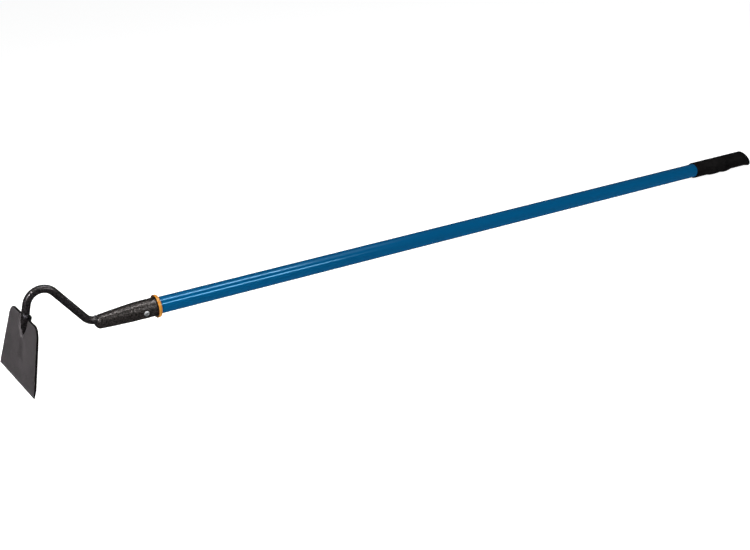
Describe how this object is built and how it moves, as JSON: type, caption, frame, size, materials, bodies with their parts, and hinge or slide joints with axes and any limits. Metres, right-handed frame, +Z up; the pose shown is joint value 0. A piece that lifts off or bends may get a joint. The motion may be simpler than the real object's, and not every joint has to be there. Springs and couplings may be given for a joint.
{
  "type": "grub hoe",
  "caption": "Long-handled grub hoe: trapezoid steel blade on a bent rod neck, tapered riveted ferrule, bright collar, painted tube shaft and a soft hand grip.",
  "frame": {"origin": "middle of the footprint on the floor, with the hoe lying down on its cutting edge and the toe of its grip", "axes": "+X along the length from the blade toward the hand grip, +Z up from the floor, Y across the blade, and the XZ plane is the mirror plane"},
  "size_m": [1.512, 0.16, 0.13],
  "materials": {
    "blade_steel": "thin satin charcoal lacquer over pressed steel plate",
    "hammer_paint": "dark grey hammertone paint, semi-gloss",
    "weld_paint": "dark grey paint over a rough weld bead",
    "rivet_aluminium": "plain aluminium, lightly scuffed",
    "rivet_steel": "dull broken steel pin",
    "collar_plastic": "amber orange moulded plastic, soft gloss",
    "shaft_paint": "blue gloss powder coat on steel tube",
    "grip_rubber": "matt black moulded rubber with a fine grain"
  },
  "bodies": {
    "root": {"blade": "blade_steel", "neck_rod": "hammer_paint", "blade_welds": "weld_paint", "ferrule": "hammer_paint", "ferrule_weld": "weld_paint", "rivet_sleeves": "rivet_aluminium", "rivet_pins": "rivet_steel", "collar": "collar_plastic", "shaft_tube": "shaft_paint", "hand_grip": "grip_rubber"}
  },
  "joints": []
}
